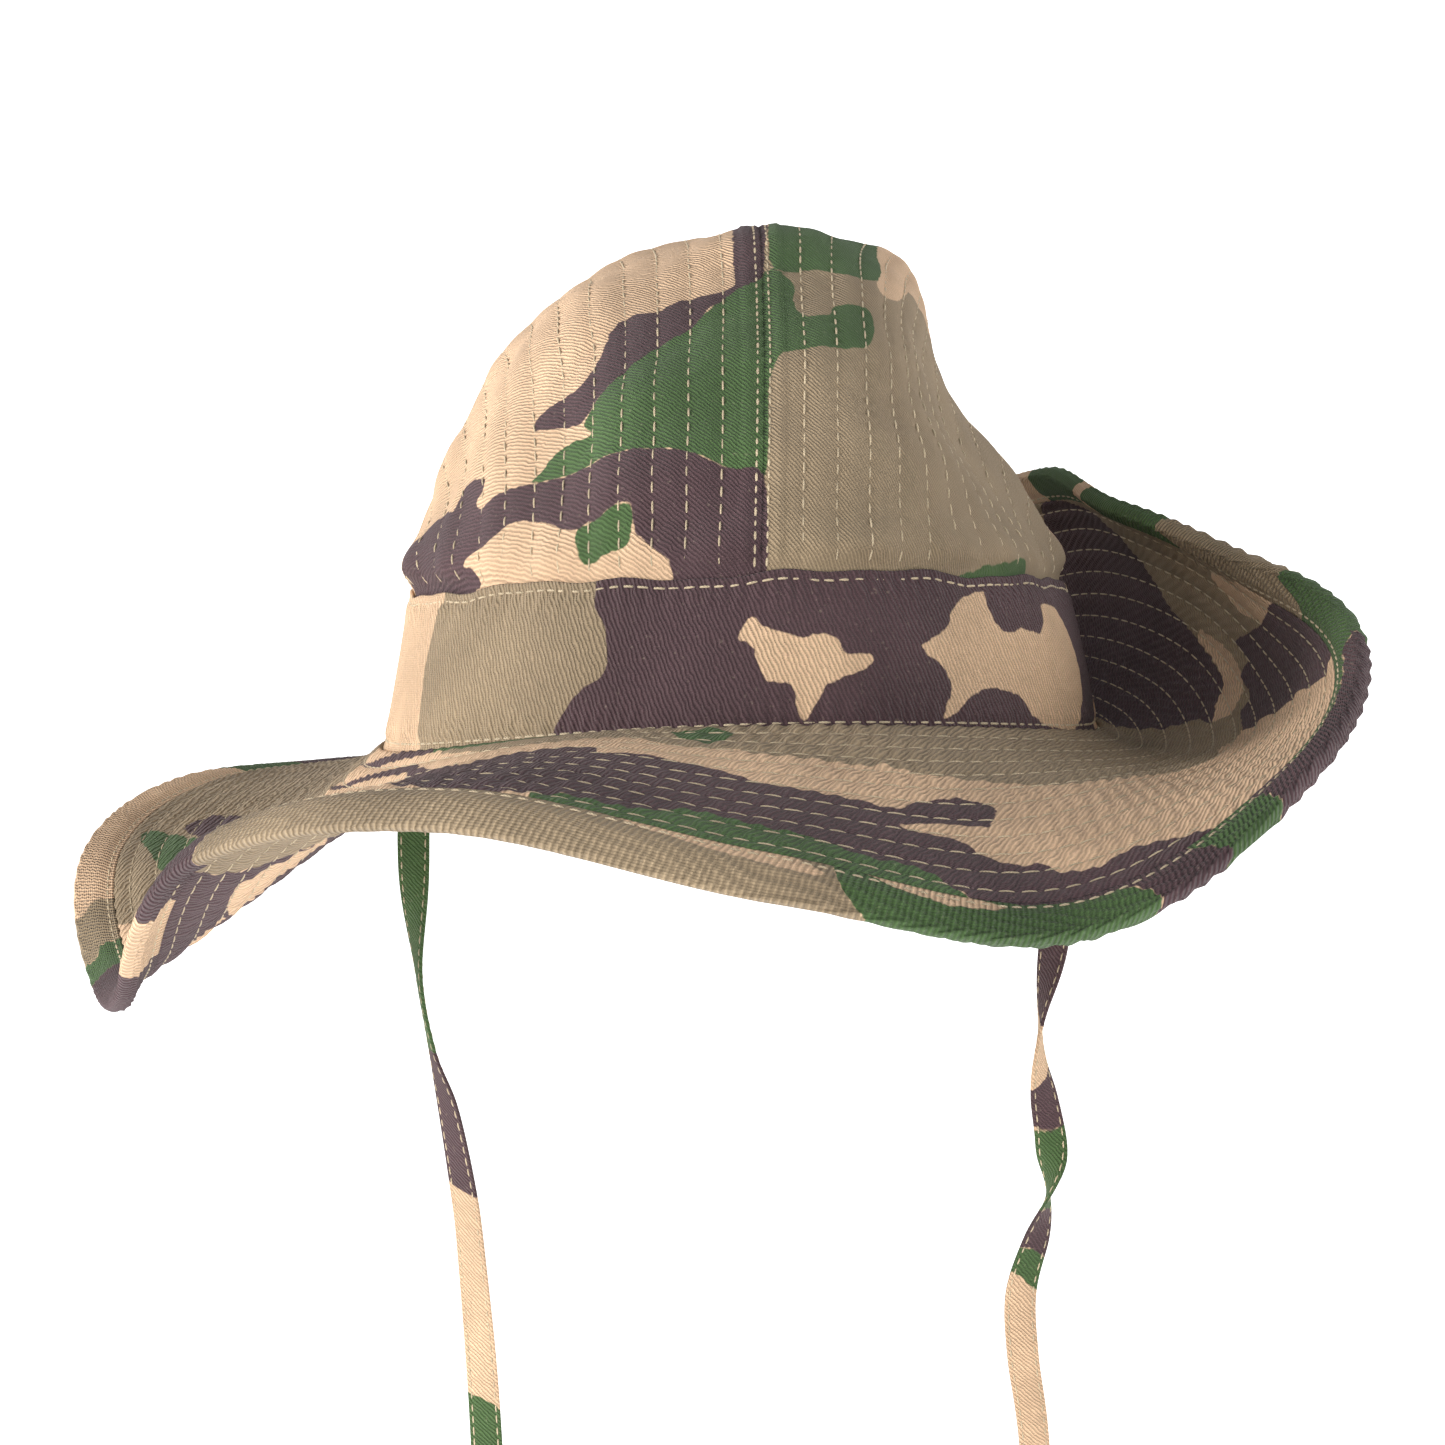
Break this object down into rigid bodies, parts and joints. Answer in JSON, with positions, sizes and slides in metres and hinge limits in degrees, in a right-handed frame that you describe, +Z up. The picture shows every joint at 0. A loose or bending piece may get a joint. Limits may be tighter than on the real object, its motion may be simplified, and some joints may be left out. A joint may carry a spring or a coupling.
{
  "type": "boonie hat",
  "caption": "Soft camouflage sun hat with a stitched crown, a hat band, a wide quilted brim turned up on one side and two fabric chin ties.",
  "frame": {"origin": "centre of the head opening, in the plane where crown and brim are sewn together", "axes": "+Z up through the crown, -Y the front of the hat, +X the wearer's left"},
  "size_m": [0.2951, 0.3698, 0.4811],
  "materials": {
    "camouflage_twill": "matte",
    "sewing_thread": "matte",
    "interlining": "matte"
  },
  "bodies": {
    "hat": {"crown_panel_left": "camouflage_twill", "crown_panel_right": "camouflage_twill", "crown_lining_left": "camouflage_twill", "crown_lining_right": "camouflage_twill", "crown_seam_tape": "camouflage_twill", "crown_rows_left": "sewing_thread", "crown_rows_right": "sewing_thread", "seam_topstitch": "sewing_thread", "hat_band": "camouflage_twill", "band_top_stitch": "sewing_thread", "band_bottom_stitch": "sewing_thread", "brim_top": "camouflage_twill", "brim_interlining": "interlining", "brim_underside": "camouflage_twill", "brim_rows_thread": "sewing_thread", "brim_binding": "camouflage_twill", "binding_stitch": "sewing_thread", "sweatband": "camouflage_twill", "sweatband_stitch": "sewing_thread"},
    "tie_left": {"chin_tie_left": "camouflage_twill", "tie_tack_left": "sewing_thread"},
    "tie_right": {"chin_tie_right": "camouflage_twill", "tie_tack_right": "sewing_thread"}
  },
  "joints": [
    {"name": "tie_left_swing", "type": "hinge", "parent": "hat", "child": "tie_left", "pos_m": [0.0764, 0.003, -0.005], "axis": [1, 0, 0], "range_deg": [-50, 50]},
    {"name": "tie_right_swing", "type": "hinge", "parent": "hat", "child": "tie_right", "pos_m": [-0.0772, 0.003, -0.005], "axis": [1, 0, 0], "range_deg": [-50, 50]}
  ]
}
